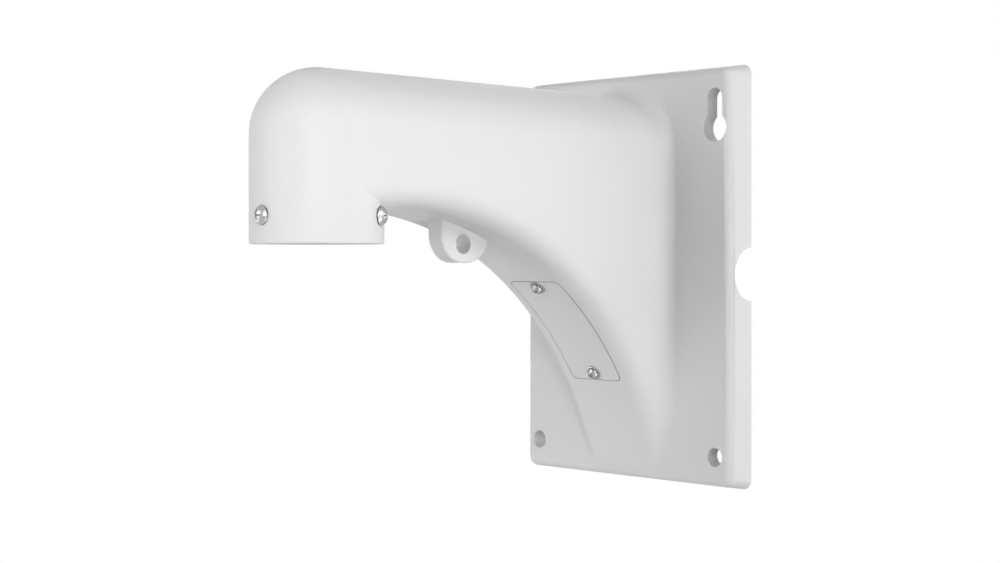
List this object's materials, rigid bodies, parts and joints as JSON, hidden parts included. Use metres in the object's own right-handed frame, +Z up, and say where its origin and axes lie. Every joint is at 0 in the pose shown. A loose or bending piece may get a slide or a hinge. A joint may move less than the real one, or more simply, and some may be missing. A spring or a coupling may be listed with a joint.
{
  "type": "camera wall bracket",
  "caption": "Hollow wall arm for hanging a security camera: a flat plate with keyholes, a curved arm with an access cover, and a downward collar with lock screws.",
  "frame": {"origin": "centre of the plate's back, on the wall", "axes": "+Y into the wall, +Z up, +X to the right seen from the front; the arm reaches to -Y"},
  "size_m": [0.137, 0.2411, 0.2052],
  "materials": {
    "casting_paint": "fine powder coat, satin white",
    "cover_paint": "fine powder coat, satin white",
    "gasket_rubber": "matt black",
    "screw_steel": "stainless, lightly polished"
  },
  "bodies": {
    "root": {"bracket_body": "casting_paint", "access_cover": "cover_paint", "cover_gasket": "gasket_rubber", "cover_washer_upper": "screw_steel", "cover_washer_lower": "screw_steel", "cover_screw_upper": "screw_steel", "cover_screw_lower": "screw_steel", "lock_screw_front": "screw_steel", "lock_screw_right": "screw_steel", "lock_screw_left": "screw_steel"}
  },
  "joints": []
}
